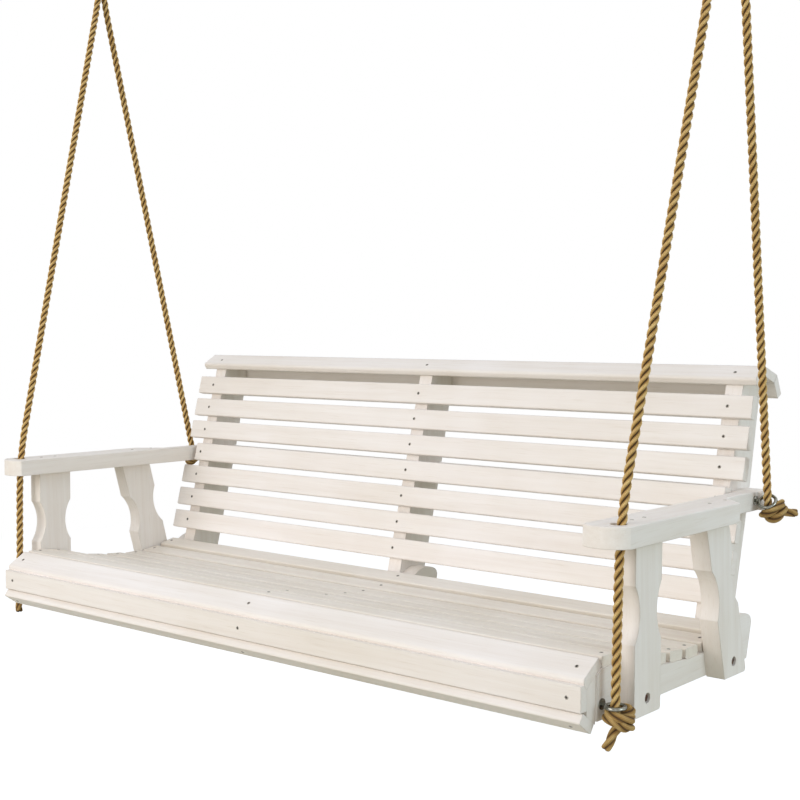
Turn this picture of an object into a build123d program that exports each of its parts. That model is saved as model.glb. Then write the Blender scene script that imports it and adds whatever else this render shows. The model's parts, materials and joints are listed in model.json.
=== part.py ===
from build123d import *
import math
import os

# Porch swing seat: a slatted bench on three shaped rails, hung from two ceiling hooks by two ropes.
# Millimetres. X runs along the bench, Y from front to back, Z up. The origin is on the ceiling,
# halfway between the two hook plates.
# Side outlines are drawn in bench coordinates: y back from the face of the front roll board, and
# z up from its top edge. bench(x) is the drawing plane for them, at the place x along the bench.
# The bench hangs tilted back a little, so that its balance point is straight under the hooks.

# ---------------------------------------------------------------- driving dimensions
HOOK_BACK = 336.0          # front face of the bench back to the hooks, square to the seat rails
CEILING_HEIGHT = 1530.0    # top edge of the front board up to the ceiling, square to the seat rails
BALANCE_TILT = 2.53        # degrees that the bench leans back when it hangs free
SPAN = 1524.0              # length of the full-length slats and boards
STOCK = 35.0               # thickness of rails, uprights, arms and posts
BOARD = 18.0               # thickness of slats and roll boards
EASE = 3.0                 # rounding of sawn long edges
CLEAR = 0.3                # clearance between a curved face and what it lies beside

RAIL_OVERHANG = 3.0        # outer rails stand out past the slat ends
RAIL_BOTTOM = -63.5
RAIL_FRONT = 43.0
RAIL_BACK = 573.5          # lower rear corner of a rail
HEEL_TOP = (545.0, 23.0)   # highest point of the heel behind the last slat
HEEL_EDGE = (579.0, 18.0)  # where the heel's top starts to round over
HEEL_ROUND = (588.5, 11.0)
RAIL_HEEL = (592.0, 2.0)   # where the rounding ends in the rail's rear edge
SEAT_LEDGE = 1.0           # least level length of the rail before the first slat

SLAT_WIDTH = 44.0
# seat slats from front to back: middle of the top face, and its tilt, positive when the back is higher
SEAT_SLATS = [
    (83.0, 35.5, -1.0),
    (135.0, 30.5, -9.0),
    (192.0, 16.5, -14.0),
    (248.0, 5.5, -7.0),
    (305.0, 0.0, -4.0),
    (361.0, -3.5, 0.0),
    (418.0, -0.5, 7.0),
    (473.0, 11.5, 13.0),
]

BACK_LEAN = 14.75          # lean of the back from upright, degrees
BACK_TOP = (592.0, 424.0)  # front upper edge of the top back slat
BACK_START = -1.8          # top slat's upper edge, along the back from BACK_TOP
BACK_PITCH = 58.15         # slat to slat along the back
BACK_SLAT_WIDTH = 44.0
BACK_SLATS = 7
ARM_GAP_SLAT = 4           # the slat that stops short so that the arms pass beside it
UPRIGHT_FOOT = 569.5       # rear edge of an upright at its foot
UPRIGHT_WAIST = (651.0, 250.0)
UPRIGHT_CREST = (687.0, 422.0)

ROLL_TOP = (50.5, 35.4)    # upper rear edge of the sloping top roll board
ROLL_TOP_WIDTH = 53.0
ROLL_TOP_TILT = 32.0
ROLL_FRONT_HEIGHT = 42.0
ROLL_LOW = (-3.5, -58.0)   # front edge of the lower roll board
ROLL_LOW_WIDTH = 40.0
ROLL_LOW_TILT = 35.0
ROLL_NOSE = 8.0            # rounding of the top board's front edge
NOSE_INSET = 11.5          # nose blocks stand in from the rail faces

# inner corners of the three-board cap over the uprights, from its front edge round to its rear edge
CAP_LINE = [(17.3, 17.6), (48.4, 36.3), (90.3, 22.9), (107.0, -7.6)]   # from BACK_TOP
CAP_GAP = 0.8              # open joint between two cap boards
CAP_NOSE = 6.0             # rounding of the cap's front edge

ARM_INSET = 12.0           # an arm's inner edge, out from the inner face of the rail under it
ARM_WIDTH = 78.0
TAIL_WIDTH = 28.0          # the arm's narrow tail
ARM_TOP = 247.0
ARM_NOSE = 19.5            # foremost point of the arm's curved front
ARM_NOSE_SHARE = 0.46      # that point's place across the arm, from its inner edge
ARM_NOSE_IN = 32.0         # where the curve meets the inner edge
ARM_NOSE_OUT = 46.0        # where it meets the outer edge
ARM_STEP = (421.0, 469.0)  # start and end of the diagonal step to the tail
ARM_PAD = 572.0            # from here back the tail reaches in to the upright
ARM_ROUND = 4.0

CROSS_FRONT = 600.0        # cross rail let into the backs of the uprights, behind the arm tails' ends
CROSS_DEPTH = 42.0
CROSS_OVERHANG = 7.0       # its ends past the arm tails

POST_WIDTH = 84.0
POST_FOOT = -66.0
FRONT_POST = (138.5, 212.0)     # middle of the front post's top
REAR_POST = (377.5, 212.0)      # middle of the rear post's top
REAR_POST_LEAN = 15.5
WAIST_HEIGHT = 98.0        # middle of the waist cut in both edges
WAIST_LENGTH = 94.0
WAIST_DEPTH = 15.0
POST_BOLT_HEIGHT = -40.0
BACK_BOLT_HIGH = (22.0, 0.0)    # back from the front edge of an upright, and height
BACK_BOLT_LOW = (66.0, -42.0)

BOLT_R = 4.0
BOLT_CLEAR = 0.25
BOLT_HEAD_R = 7.0
BOLT_HEAD = 5.0
BOLT_WASHER = 1.5
SINK_R = 8.5               # counterbore in the posts
SINK_DEPTH = 10.0
NUT_ACROSS = 11.0
NUT_HEIGHT = 5.5
WASHER_R = 9.0
WASHER = 2.0

EYE_WIRE_R = 3.2
EYE_R = 15.5               # ring radius to the middle of its wire
EYE_SHANK_R = 3.0
EYE_NECK = 4.0             # from the washer to the ring's outside
FRONT_EYE = (56.0, -38.0)
REAR_EYE = (588.0, 231.0)
REAR_EYE_TILT = 40.0       # slope of the rear rings, whose front sides point down
FRONT_KNOT_DROP = 4.2      # from a ring's middle down to where its rope's run ends in the knot
REAR_KNOT_DROP = 12.6      # lower, because the rear knots bear on the low sides of their rings

ROPE_R = 8.0
ARM_HOLE_R = 13.5
ARM_HOLE_BACK = 58.5

HOOK_BEYOND = 69.0         # hooks outwards from the rails' outer faces
HOOK_DROP = 72.1           # ceiling down to the hinge line in the hook's bend
HOOK_R = 5.0
HOOK_HALF = 20.0           # half width of the hook's bend
HOOK_BEND = 14.0
HOOK_NECK = (46.0, 30.0)   # the neck's two bends above the hinge line
HOOK_NECK_BEND = 10.0
HOOK_LIP = (21.0, 32.0)    # the open side's bend and tip above the hinge line
HOOK_LIP_OUT = 7.0
HOOK_LIP_BEND = 8.0
HOOK_FLANGE_R = 10.0
HOOK_FLANGE_TAPER = 35.0
PLATE = (40.0, 90.0, 6.0)
PLATE_CORNER = 6.0
PLATE_HOLES = 64.0         # spacing of the two screw holes in a plate
PLATE_HOLE_R = 3.5
THIMBLE_WALL = 2.5
THIMBLE_R = 28.0           # from the thimble's middle to the middle of the rope on it
THIMBLE_WRAP = 80.0        # degrees that its channel reaches round the rope on each side
SEIZING_HEIGHT = 28.0
SEIZING_DROP = 72.0        # from the thimble's middle down to the seizing's
LEGS_MEET = 96.0           # from the thimble's middle down to where the rope's two legs meet
SEIZING_WALL = 2.5

# ---------------------------------------------------------------- worked-out places
HALF = SPAN / 2
RAIL_OUT = HALF + RAIL_OVERHANG
RAIL_IN = RAIL_OUT - STOCK
UPRIGHT_IN = RAIL_IN - STOCK
ARM_BOTTOM = ARM_TOP - STOCK
POST_OUT = RAIL_OUT + STOCK
ARM_IN = RAIL_IN + ARM_INSET
ARM_OUT = ARM_IN + ARM_WIDTH
ARM_TAIL = ARM_IN + TAIL_WIDTH
HOOK_OUT = RAIL_OUT + HOOK_BEYOND
FRONT_RING_OUT = RAIL_OUT + WASHER + EYE_NECK + EYE_R + EYE_WIRE_R
REAR_RING_OUT = ARM_TAIL + WASHER + EYE_NECK + EYE_R + EYE_WIRE_R
LEAN = math.radians(BACK_LEAN)
THIMBLE_BORE = THIMBLE_R - ROPE_R - CLEAR - THIMBLE_WALL
HINGE_Z = -HOOK_DROP
THIMBLE_HEIGHT = CEILING_HEIGHT + HINGE_Z - THIMBLE_BORE + CLEAR + HOOK_R   # its middle
TILT_COS = math.cos(math.radians(BALANCE_TILT))
TILT_SIN = math.sin(math.radians(BALANCE_TILT))
BENCH_BACK = (0, TILT_COS, -TILT_SIN)
BENCH_UP = (0, TILT_SIN, TILT_COS)

os.makedirs("parts", exist_ok=True)


def finish(piece, node):
    """Label a finished piece and write it."""
    piece.part.label = node
    export_step(piece.part, f"parts/{node}.step")


def finish_pair(right, node):
    """Write a right-hand piece and its mirror image on the left."""
    finish(right, node + "_right")
    with BuildPart() as left:
        mirror(right.part, about=Plane.YZ)
    finish(left, node + "_left")


def place(point):
    """A point in bench coordinates, turned about the hinge line by the tilt, in the part's frame."""
    x, y, z = point
    back = y - HOOK_BACK
    up = z - CEILING_HEIGHT - HINGE_Z
    return (x, back * TILT_COS + up * TILT_SIN, up * TILT_COS - back * TILT_SIN + HINGE_Z)


def bench(x):
    """Side-view drawing plane: local x is y, local y is z, in bench coordinates."""
    return Plane(origin=place((x, 0, 0)), x_dir=BENCH_BACK, z_dir=(1, 0, 0))


def plan(z):
    """Top-view drawing plane at a height in bench coordinates."""
    return Plane(origin=place((0, 0, z)), x_dir=(1, 0, 0), z_dir=BENCH_UP)


def along(start, direction, distance):
    """The point at a distance from start along a direction in degrees, counted up from +y."""
    angle = math.radians(direction)
    return (start[0] + distance * math.cos(angle), start[1] + distance * math.sin(angle))


def height_on(start, direction, y):
    """Height of the line through start, at a given y."""
    return start[1] + (y - start[0]) * math.tan(math.radians(direction))


def upright_front(z):
    """Front edge of the uprights at a height: the line on which the back slats lie."""
    y0 = BACK_TOP[0] + BOARD * math.cos(LEAN)
    z0 = BACK_TOP[1] - BOARD * math.sin(LEAN)
    return y0 + (z - z0) * math.tan(LEAN)


def long_board(corner, direction, width, length, rounding, node):
    """A full-length board: its face starts at corner and runs along direction, wood below it."""
    with BuildPart() as board:
        with BuildSketch(bench(0)):
            with Locations(Location((corner[0], corner[1], 0), (0, 0, direction))):
                RectangleRounded(width, BOARD, rounding, align=(Align.MIN, Align.MAX))
        extrude(amount=length / 2, both=True)
    finish(board, node)


# ---------------------------------------------------------------- seat slats
def seat_underside(slat):
    """Front and rear lower edges of a seat slat: the seat it needs on the rails."""
    y, z, tilt = slat
    middle = along((y, z), tilt - 90, BOARD)
    return [along(middle, tilt + 180, SLAT_WIDTH / 2), along(middle, tilt, SLAT_WIDTH / 2)]


for number, (slat_y, slat_z, slat_tilt) in enumerate(SEAT_SLATS, start=1):
    slat_front = along((slat_y, slat_z), slat_tilt + 180, SLAT_WIDTH / 2)
    long_board(slat_front, slat_tilt, SLAT_WIDTH, SPAN, EASE, f"seat_slat_{number}")

# ---------------------------------------------------------------- rolled front edge
roll_top_front = along(ROLL_TOP, 180 + ROLL_TOP_TILT, ROLL_TOP_WIDTH)
roll_under = along(roll_top_front, ROLL_TOP_TILT - 90, BOARD)
with BuildPart() as roll_top:
    with BuildSketch(bench(0)) as roll_top_face:
        with Locations(Location((roll_top_front[0], roll_top_front[1], 0), (0, 0, ROLL_TOP_TILT))):
            Rectangle(ROLL_TOP_WIDTH, BOARD, align=(Align.MIN, Align.MAX))
        fillet(roll_top_face.vertices().sort_by(Axis.Y)[1:3].sort_by(Axis.X)[:1], ROLL_NOSE)
    extrude(amount=HALF, both=True)
finish(roll_top, "roll_top_board")

with BuildPart() as roll_front:
    with BuildSketch(bench(0)):
        with Locations((0, 0)):
            Rectangle(BOARD, ROLL_FRONT_HEIGHT, align=(Align.MIN, Align.MAX))
    extrude(amount=HALF, both=True)
    add(roll_top.part, mode=Mode.SUBTRACT)
finish(roll_front, "roll_front_board")

roll_low_back = along(ROLL_LOW, 90 - ROLL_LOW_TILT, BOARD)
long_board(roll_low_back, -ROLL_LOW_TILT, ROLL_LOW_WIDTH, SPAN, EASE, "roll_bottom_board")


def nose_block(x, node):
    """Block on a rail's front end that carries the three roll boards."""
    with BuildPart() as block:
        with BuildSketch(bench(x)):
            with BuildLine():
                Polyline(
                    (RAIL_FRONT, height_on(roll_under, ROLL_TOP_TILT, RAIL_FRONT)),
                    (BOARD, height_on(roll_under, ROLL_TOP_TILT, BOARD)),
                    (BOARD, height_on(roll_low_back, -ROLL_LOW_TILT, BOARD)),
                    (RAIL_FRONT, height_on(roll_low_back, -ROLL_LOW_TILT, RAIL_FRONT)),
                    close=True,
                )
            make_face()
        extrude(amount=STOCK)
    finish(block, node)


nose_block(RAIL_OUT - NOSE_INSET - STOCK, "nose_block_right")
nose_block(-RAIL_OUT + NOSE_INSET, "nose_block_left")
nose_block(-STOCK / 2, "nose_block_centre")


# ---------------------------------------------------------------- seat rails
def bolt_hole(x, place_yz, radius, depth):
    """A round hole along X into the piece being built, from the face at x; depth has a sign."""
    with BuildSketch(bench(x)) as hole:
        with Locations(place_yz):
            Circle(radius)
    extrude(hole.sketch, amount=depth, mode=Mode.SUBTRACT)


def post_middle(top, lean, z):
    """Middle of an arm post at a height."""
    return top[0] + (top[1] - z) * math.tan(math.radians(lean))


POST_BOLTS = [
    (post_middle(FRONT_POST, 0, POST_BOLT_HEIGHT), POST_BOLT_HEIGHT),
    (post_middle(REAR_POST, REAR_POST_LEAN, POST_BOLT_HEIGHT), POST_BOLT_HEIGHT),
]
BACK_BOLTS = [(upright_front(z) + back, z) for back, z in (BACK_BOLT_HIGH, BACK_BOLT_LOW)]


def seat_rail(x, drilled):
    """Rail cut to the seat's curve, with a rounded heel behind the last slat."""
    seats = []
    for slat in SEAT_SLATS:
        seats += seat_underside(slat)
    bevel_top = seats[0][1]
    bevel_y = roll_under[0] + (bevel_top - roll_under[1]) / math.tan(math.radians(ROLL_TOP_TILT))
    with BuildPart() as rail:
        with BuildSketch(bench(x)):
            with BuildLine():
                Polyline(
                    RAIL_HEEL,
                    (RAIL_BACK, RAIL_BOTTOM),
                    (RAIL_FRONT, RAIL_BOTTOM),
                    (RAIL_FRONT, height_on(roll_under, ROLL_TOP_TILT, RAIL_FRONT)),
                    (min(bevel_y, seats[0][0] - SEAT_LEDGE), bevel_top),
                    *seats,
                )
                ThreePointArc(seats[-1], HEEL_TOP, HEEL_EDGE)
                ThreePointArc(HEEL_EDGE, HEEL_ROUND, RAIL_HEEL)
            make_face()
        extrude(amount=STOCK)
        for bolt in BACK_BOLTS:
            bolt_hole(x, bolt, BOLT_R + BOLT_CLEAR, STOCK)
        if drilled:
            bolt_hole(x, FRONT_EYE, EYE_SHANK_R + BOLT_CLEAR, STOCK)
            for bolt in POST_BOLTS:
                bolt_hole(x, bolt, BOLT_R + BOLT_CLEAR, STOCK)
    return rail


finish_pair(seat_rail(RAIL_IN, True), "seat_rail")
finish(seat_rail(-STOCK / 2, False), "seat_rail_centre")

# ---------------------------------------------------------------- back
cap = [(BACK_TOP[0] + dy, BACK_TOP[1] + dz) for dy, dz in CAP_LINE]


def cap_under(y):
    """Height of the cap's underside over a place, on its front board."""
    slope = (cap[1][1] - cap[0][1]) / (cap[1][0] - cap[0][0])
    return cap[0][1] + (y - cap[0][0]) * slope


def upright_top():
    """Where the front edge of an upright meets the underside of the cap."""
    slope = (cap[1][1] - cap[0][1]) / (cap[1][0] - cap[0][0])
    base = cap_under(upright_front(0))
    z = base / (1 - slope * math.tan(LEAN))
    return (upright_front(z), z)


def crest():
    """Where the rear edge of an upright meets the inside of the cap's rear board."""
    slope = (cap[3][1] - cap[2][1]) / (cap[3][0] - cap[2][0])
    return (UPRIGHT_CREST[0], cap[2][1] + (UPRIGHT_CREST[0] - cap[2][0]) * slope)


def back_upright(x, drilled):
    """Leaning upright with its head cut to the cap and its rear edge notched for the cross rail."""
    with BuildPart() as upright:
        with BuildSketch(bench(x)):
            with BuildLine():
                Polyline(
                    (upright_front(RAIL_BOTTOM), RAIL_BOTTOM),
                    upright_top(),
                    cap[1],
                    cap[2],
                    crest(),
                    UPRIGHT_CREST,
                    UPRIGHT_WAIST,
                    (UPRIGHT_FOOT, RAIL_BOTTOM),
                    close=True,
                )
            make_face()
            with Locations((CROSS_FRONT, ARM_BOTTOM)):
                Rectangle(2 * CROSS_DEPTH, STOCK, align=(Align.MIN, Align.MIN), mode=Mode.SUBTRACT)
        extrude(amount=STOCK)
        if drilled:
            bolt_hole(x, REAR_EYE, EYE_SHANK_R + BOLT_CLEAR, STOCK)
        for bolt in BACK_BOLTS:
            bolt_hole(x, bolt, BOLT_R + BOLT_CLEAR, STOCK)
    return upright


finish_pair(back_upright(UPRIGHT_IN, True), "back_upright")
finish(back_upright(-STOCK / 2 - STOCK, False), "back_upright_centre")

for number in range(1, BACK_SLATS + 1):
    top_edge = along(BACK_TOP, -90 - BACK_LEAN, BACK_START + (number - 1) * BACK_PITCH)
    slat_length = 2 * RAIL_IN if number == ARM_GAP_SLAT else SPAN
    low_edge = along(top_edge, -90 - BACK_LEAN, BACK_SLAT_WIDTH)
    long_board(low_edge, 90 - BACK_LEAN, BACK_SLAT_WIDTH, slat_length, EASE, f"back_slat_{number}")


def mitre(index):
    """Outer corner of the cap over an inner corner, where two boards meet at their half angle."""
    normals = []
    for first, second in ((index - 1, index), (index, index + 1)):
        if first >= 0 and second < len(cap):
            dy = cap[second][0] - cap[first][0]
            dz = cap[second][1] - cap[first][1]
            run = math.hypot(dy, dz)
            normals.append((-dz / run, dy / run))
    if len(normals) == 1:
        out = normals[0]
    else:
        share = 1 + normals[0][0] * normals[1][0] + normals[0][1] * normals[1][1]
        out = tuple((a + b) / share for a, b in zip(*normals))
    return (cap[index][0] + BOARD * out[0], cap[index][1] + BOARD * out[1])


def cap_board(index, nose, node):
    """One board of the cap, mitred against its neighbours with an open joint."""
    dy = cap[index + 1][0] - cap[index][0]
    dz = cap[index + 1][1] - cap[index][1]
    direction = math.degrees(math.atan2(dz, dy))
    start_gap = CAP_GAP / 2 if index > 0 else 0
    end_gap = CAP_GAP / 2 if index < len(cap) - 2 else 0
    with BuildPart() as board:
        with BuildSketch(bench(0)) as face:
            with BuildLine():
                Polyline(
                    along(cap[index], direction, start_gap),
                    along(cap[index + 1], direction, -end_gap),
                    along(mitre(index + 1), direction, -end_gap),
                    along(mitre(index), direction, start_gap),
                    close=True,
                )
            make_face()
            if nose:
                fillet(face.vertices().sort_by(Axis.X)[:2], nose)
        extrude(amount=HALF, both=True)
    finish(board, node)


cap_board(0, CAP_NOSE, "cap_front_board")
cap_board(1, 0, "cap_top_board")
cap_board(2, 0, "cap_rear_board")

# ---------------------------------------------------------------- arms, posts and cross rail
with BuildPart() as arm:
    with BuildSketch(plan(ARM_BOTTOM)) as arm_face:
        with BuildLine():
            ThreePointArc(
                (ARM_IN, ARM_NOSE_IN),
                (ARM_IN + ARM_NOSE_SHARE * ARM_WIDTH, ARM_NOSE),
                (ARM_OUT, ARM_NOSE_OUT),
            )
            Polyline(
                (ARM_OUT, ARM_NOSE_OUT),
                (ARM_OUT, ARM_STEP[0]),
                (ARM_TAIL, ARM_STEP[1]),
                (ARM_TAIL, CROSS_FRONT),
                (RAIL_IN, CROSS_FRONT),
                (RAIL_IN, ARM_PAD),
                (ARM_IN, ARM_PAD),
                (ARM_IN, ARM_NOSE_IN),
            )
        make_face()
        fillet(arm_face.vertices().group_by(Axis.Y)[:4], ARM_ROUND)
    extrude(amount=STOCK)
    chamfer(arm.faces().sort_by(Axis.Z)[-1].edges(), EASE / 2)
    with BuildSketch(plan(ARM_BOTTOM)):
        with Locations((FRONT_RING_OUT, ARM_HOLE_BACK)):
            Circle(ARM_HOLE_R)
    extrude(amount=STOCK, mode=Mode.SUBTRACT)
    bolt_hole(RAIL_IN, REAR_EYE, EYE_SHANK_R + BOLT_CLEAR, ARM_TAIL - RAIL_IN)
finish_pair(arm, "arm")

with BuildPart() as cross_rail:
    with BuildSketch(bench(0)):
        with Locations((CROSS_FRONT, ARM_BOTTOM)):
            Rectangle(CROSS_DEPTH, STOCK, align=(Align.MIN, Align.MIN))
    extrude(amount=ARM_TAIL + CROSS_OVERHANG, both=True)
    chamfer(cross_rail.edges().filter_by(Axis.X), EASE / 2)
finish(cross_rail, "cross_rail")


def arm_post(top, lean):
    """Post from the rail's outer face up to the arm, drawn in at a waist on both edges."""
    middle = (post_middle(top, lean, WAIST_HEIGHT), WAIST_HEIGHT)
    reach = top[1] - POST_FOOT
    bolt = (post_middle(top, lean, POST_BOLT_HEIGHT), POST_BOLT_HEIGHT)
    with BuildPart() as post:
        with BuildSketch(bench(RAIL_OUT)):
            with Locations(Location((middle[0], middle[1], 0), (0, 0, lean))):
                Rectangle(POST_WIDTH * math.cos(math.radians(lean)), 2 * reach)
                for side in (-1, 1):
                    with Locations((side * POST_WIDTH * math.cos(math.radians(lean)) / 2, 0)):
                        cut_radius = (WAIST_LENGTH**2 / 4 + WAIST_DEPTH**2) / (2 * WAIST_DEPTH)
                        with Locations((side * (cut_radius - WAIST_DEPTH), 0)):
                            Circle(cut_radius, mode=Mode.SUBTRACT)
            with Locations((middle[0], POST_FOOT)):
                Rectangle(4 * reach, reach, align=(Align.CENTER, Align.MIN), mode=Mode.INTERSECT)
        extrude(amount=STOCK)
        fillet(post.edges().filter_by(Axis.X).group_by(Axis.Z)[0].sort_by(Axis.Y)[-1], 2 * EASE)
        bolt_hole(POST_OUT, bolt, SINK_R, -SINK_DEPTH)
        bolt_hole(POST_OUT, bolt, BOLT_R + BOLT_CLEAR, -STOCK)
    return post


finish_pair(arm_post(FRONT_POST, 0), "arm_post_front")
finish_pair(arm_post(REAR_POST, REAR_POST_LEAN), "arm_post_rear")


# ---------------------------------------------------------------- bolts
def hex_bolt(x_head, place_yz, length, direction):
    """Add a washer and a bolt head standing off the face at x_head, and a shank along direction."""
    with BuildSketch(bench(x_head)) as washer:
        with Locations(place_yz):
            Circle(SINK_R - CLEAR)
    extrude(washer.sketch, amount=-direction * BOLT_WASHER)
    with BuildSketch(bench(x_head)) as head:
        with Locations(place_yz):
            RegularPolygon(BOLT_HEAD_R, 6)
    extrude(head.sketch, amount=-direction * (BOLT_WASHER + BOLT_HEAD))
    with BuildSketch(bench(x_head)) as shank:
        with Locations(place_yz):
            Circle(BOLT_R)
    extrude(shank.sketch, amount=direction * length)


with BuildPart() as post_bolts:
    for side in (-1, 1):
        for bolt in POST_BOLTS:
            hex_bolt(side * (POST_OUT - SINK_DEPTH), bolt, 2 * STOCK - SINK_DEPTH, -side)
finish(post_bolts, "post_bolts")

with BuildPart() as back_bolts:
    for start, direction in ((UPRIGHT_IN, 1), (-UPRIGHT_IN, -1), (-STOCK / 2 - STOCK, 1)):
        for bolt in BACK_BOLTS:
            hex_bolt(start, bolt, 2 * STOCK, direction)
finish(back_bolts, "back_bolts")


def eye_bolt(ring_x, place_yz, inner_face, tilt):
    """Eye bolt: a ring whose front is tilted down, and a shank through the wood to a nut inside."""
    y, z = place_yz
    with BuildPart() as eye:
        with Locations(Plane(origin=place((ring_x, y, z)), x_dir=(1, 0, 0), z_dir=BENCH_UP)):
            with Locations(Location((0, 0, 0), (tilt, 0, 0))):
                Torus(EYE_R, EYE_WIRE_R)
        with BuildSketch(bench(ring_x - EYE_R)):
            with Locations(place_yz):
                Circle(EYE_SHANK_R)
        extrude(amount=-(ring_x - EYE_R - inner_face + NUT_HEIGHT + 2 * WASHER))
    return eye


finish_pair(eye_bolt(FRONT_RING_OUT, FRONT_EYE, RAIL_IN, 0), "eye_bolt_front")
finish_pair(eye_bolt(REAR_RING_OUT, REAR_EYE, UPRIGHT_IN, REAR_EYE_TILT), "eye_bolt_rear")

with BuildPart() as eye_nuts:
    for side in (-1, 1):
        for inner, outer, where in (
            (RAIL_IN, RAIL_OUT, FRONT_EYE),
            (UPRIGHT_IN, ARM_TAIL, REAR_EYE),
        ):
            for face, height, radius, corners in (
                (outer, side * WASHER, WASHER_R, 0),
                (inner, -side * WASHER, WASHER_R, 0),
                (inner - WASHER, -side * NUT_HEIGHT, NUT_ACROSS / math.sqrt(3), 6),
            ):
                with BuildSketch(bench(side * face)):
                    with Locations(where):
                        if corners:
                            RegularPolygon(radius, corners)
                        else:
                            Circle(radius)
                        Circle(EYE_SHANK_R + BOLT_CLEAR / 2, mode=Mode.SUBTRACT)
                extrude(amount=height)
finish(eye_nuts, "eye_bolt_nuts")

# ---------------------------------------------------------------- ropes
# the rope on the right, from the front ring up through the arm and the seizing, over the thimble,
# and down to the rear ring; each point with the radius of the arc that rounds it
TURN = THIMBLE_R / 2       # half width of the route's flat top over the thimble
ROPE_ROUTE = [
    ((FRONT_RING_OUT, FRONT_EYE[0], FRONT_EYE[1] - FRONT_KNOT_DROP), 0),
    ((FRONT_RING_OUT + 2, ARM_HOLE_BACK + 2, ARM_TOP), 80),
    ((HOOK_OUT, HOOK_BACK - ROPE_R, THIMBLE_HEIGHT - LEGS_MEET), 80),
    ((HOOK_OUT, HOOK_BACK - ROPE_R, THIMBLE_HEIGHT - 42), 60),
    ((HOOK_OUT, HOOK_BACK - THIMBLE_R - 4, THIMBLE_HEIGHT), THIMBLE_R - 0.5),
    ((HOOK_OUT, HOOK_BACK - TURN - 2, THIMBLE_HEIGHT + THIMBLE_R), THIMBLE_R - 0.5),
    ((HOOK_OUT, HOOK_BACK + TURN + 2, THIMBLE_HEIGHT + THIMBLE_R), THIMBLE_R - 0.5),
    ((HOOK_OUT, HOOK_BACK + THIMBLE_R + 4, THIMBLE_HEIGHT), THIMBLE_R - 0.5),
    ((HOOK_OUT, HOOK_BACK + ROPE_R, THIMBLE_HEIGHT - 42), 60),
    ((HOOK_OUT, HOOK_BACK + ROPE_R, THIMBLE_HEIGHT - LEGS_MEET), 80),
    ((REAR_RING_OUT, REAR_EYE[0] + 3, REAR_EYE[1] - REAR_KNOT_DROP), 0),
]
with BuildPart() as rope:
    with BuildLine() as rope_line:
        FilletPolyline(
            *[place(point) for point, radius in ROPE_ROUTE],
            radius=[radius for point, radius in ROPE_ROUTE[1:-1]],
        )
    with BuildSketch(Plane(origin=rope_line.line @ 0, z_dir=rope_line.line % 0)):
        Circle(ROPE_R)
    sweep(path=rope_line.line)
finish_pair(rope, "rope")
rope_length = sum(edge.length for edge in rope_line.edges())
rope_ideal = math.pi * ROPE_R**2 * rope_length
print("rope radii", [radius for point, radius in ROPE_ROUTE[1:-1]])
print(f"rope length {rope_length:.1f}, volume {rope.part.volume:.0f}, section x length {rope_ideal:.0f}")

# stopper knots under the rings: two tilted turns round a core, and a tail. A place in a knot is given
# from the end of the rope's run: out from the bench along KNOT_BEARING, level across that, and up.
KNOT_BEARING = 40.0        # plan direction of the knot's long side, from +X towards +Y
KNOT_TILT = 40.0           # slope of the turns
KNOT_TURN_R = 13.5
KNOT_TURNS = [(-4, 0, -16), (10, 0, -12)]
KNOT_CORE = [(0, 0, 0), (1, 0, -9), (4, 0, -20)]
KNOT_TAIL_FRONT = [(2, 0, -12), (-3, 0, -28), (-18, 2, -56)]
KNOT_TAIL_REAR = [(2, 0, -16), (22, 0, -22), (56, -2, -14)]
KNOT_TAIL_ARC = 40.0


def knot_point(end, offset):
    """A place in a knot, moved to the part's own frame."""
    side, across, up = offset
    bearing = math.radians(KNOT_BEARING)
    x = end[0] + side * math.cos(bearing) + across * math.sin(bearing)
    y = end[1] + side * math.sin(bearing) - across * math.cos(bearing)
    return place((x, y, end[2] + up))


def knot(end, tail):
    """Stopper knot at the end of a rope's run."""
    tilt = math.radians(KNOT_TILT)
    origin = Vector(*knot_point(end, (0, 0, 0)))
    turn_axis = Vector(*knot_point(end, (math.sin(tilt), 0, math.cos(tilt)))) - origin
    with BuildPart() as tied:
        for centre in KNOT_TURNS:
            with Locations(Plane(origin=knot_point(end, centre), z_dir=turn_axis)):
                Torus(KNOT_TURN_R, ROPE_R)
                Cylinder(KNOT_TURN_R, ROPE_R)
        for stretch in (KNOT_CORE, tail):
            with BuildLine() as line:
                stretch_points = [knot_point(end, offset) for offset in stretch]
                FilletPolyline(*stretch_points, radius=KNOT_TAIL_ARC)
            with BuildSketch(Plane(origin=line.line @ 0, z_dir=line.line % 0)) as section:
                Circle(ROPE_R)
            sweep(section.sketch, path=line.line)
        add(rope.part, mode=Mode.SUBTRACT)
    return tied


finish_pair(knot(ROPE_ROUTE[0][0], KNOT_TAIL_FRONT), "rope_knot_front")
finish_pair(knot(ROPE_ROUTE[-1][0], KNOT_TAIL_REAR), "rope_knot_rear")

# thimble: a ring of channel section round which the rope turns
with BuildPart() as thimble:
    thimble_axis = Axis(place((HOOK_OUT, HOOK_BACK, THIMBLE_HEIGHT)), (1, 0, 0))
    channel_place = place((HOOK_OUT, HOOK_BACK, THIMBLE_HEIGHT + THIMBLE_R))
    with BuildSketch(Plane(origin=channel_place, x_dir=(1, 0, 0), z_dir=-Vector(*BENCH_BACK))):
        with BuildLine():
            CenterArc((0, 0), ROPE_R + CLEAR, -90 - THIMBLE_WRAP, 2 * THIMBLE_WRAP)
            offset(amount=THIMBLE_WALL, side=Side.RIGHT)
        make_face()
    revolve(axis=thimble_axis)
finish_pair(thimble, "thimble")

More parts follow.
